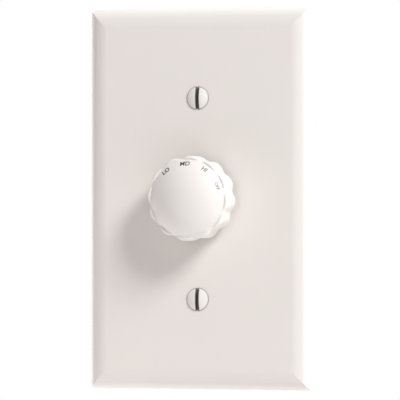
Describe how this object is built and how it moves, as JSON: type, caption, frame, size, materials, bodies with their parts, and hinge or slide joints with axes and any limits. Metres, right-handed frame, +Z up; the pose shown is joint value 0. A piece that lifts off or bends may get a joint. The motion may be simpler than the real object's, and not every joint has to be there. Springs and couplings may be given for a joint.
{
  "type": "fan speed control switch",
  "caption": "Wall rotary fan speed control: bevelled single-gang plate and scalloped domed knob on a strap-mounted housing with shaft, detent, contacts and capacitors.",
  "frame": {"origin": "the shaft's axis at the wall plane, level with the back of the plate's rim, midway between the box screws", "axes": "+Z up the plate, +X to the right as seen from the room, -Y out of the wall towards the viewer"},
  "size_m": [0.0698, 0.0507, 0.1142],
  "materials": {
    "plate_plastic": "moulded, satin gloss, warm white",
    "knob_plastic": "moulded, glossy white",
    "screw_paint": "white enamel on steel",
    "zinc_steel": "zinc plate",
    "spring_steel": "tempered",
    "fibre": "vulcanised fibre",
    "housing_plastic": "moulded phenolic",
    "rivet_metal": "plain",
    "ground_green": "green dye over zinc",
    "brass": "turned or stamped",
    "board": "phenolic laminate",
    "capacitor_film": "boxed film",
    "resistor_body": "lacquer",
    "rotor_plastic": "moulded phenolic"
  },
  "bodies": {
    "base": {"wall_plate": "plate_plastic", "plate_screws": "screw_paint", "mounting_strap": "zinc_steel", "box_screws": "zinc_steel", "screw_retainers": "fibre", "ground_screw": "ground_green", "insulator_sheet": "fibre", "housing": "housing_plastic", "housing_rivets": "rivet_metal", "index_plate": "zinc_steel", "detent_spring": "spring_steel", "bushing": "brass", "lock_washer": "zinc_steel", "bushing_nut": "zinc_steel", "circuit_board": "board", "contact_studs": "brass", "common_contact": "brass", "low_capacitor": "capacitor_film", "medium_capacitor": "capacitor_film", "bleed_resistors": "resistor_body", "line_terminal": "brass", "load_terminal": "brass", "terminal_screws": "brass", "board_screws": "zinc_steel"},
    "knob_and_shaft": {"knob": "knob_plastic", "knob_spring": "spring_steel", "shaft": "brass", "shaft_clip": "spring_steel", "detent_wheel": "zinc_steel", "contact_rotor": "rotor_plastic", "wiper": "brass"}
  },
  "joints": [
    {"name": "knob_turn", "type": "hinge", "parent": "base", "child": "knob_and_shaft", "pos_m": [0, 0, 0], "axis": [0, -1, 0], "range_deg": [-36, 72], "deforming": ["detent_spring"]}
  ]
}
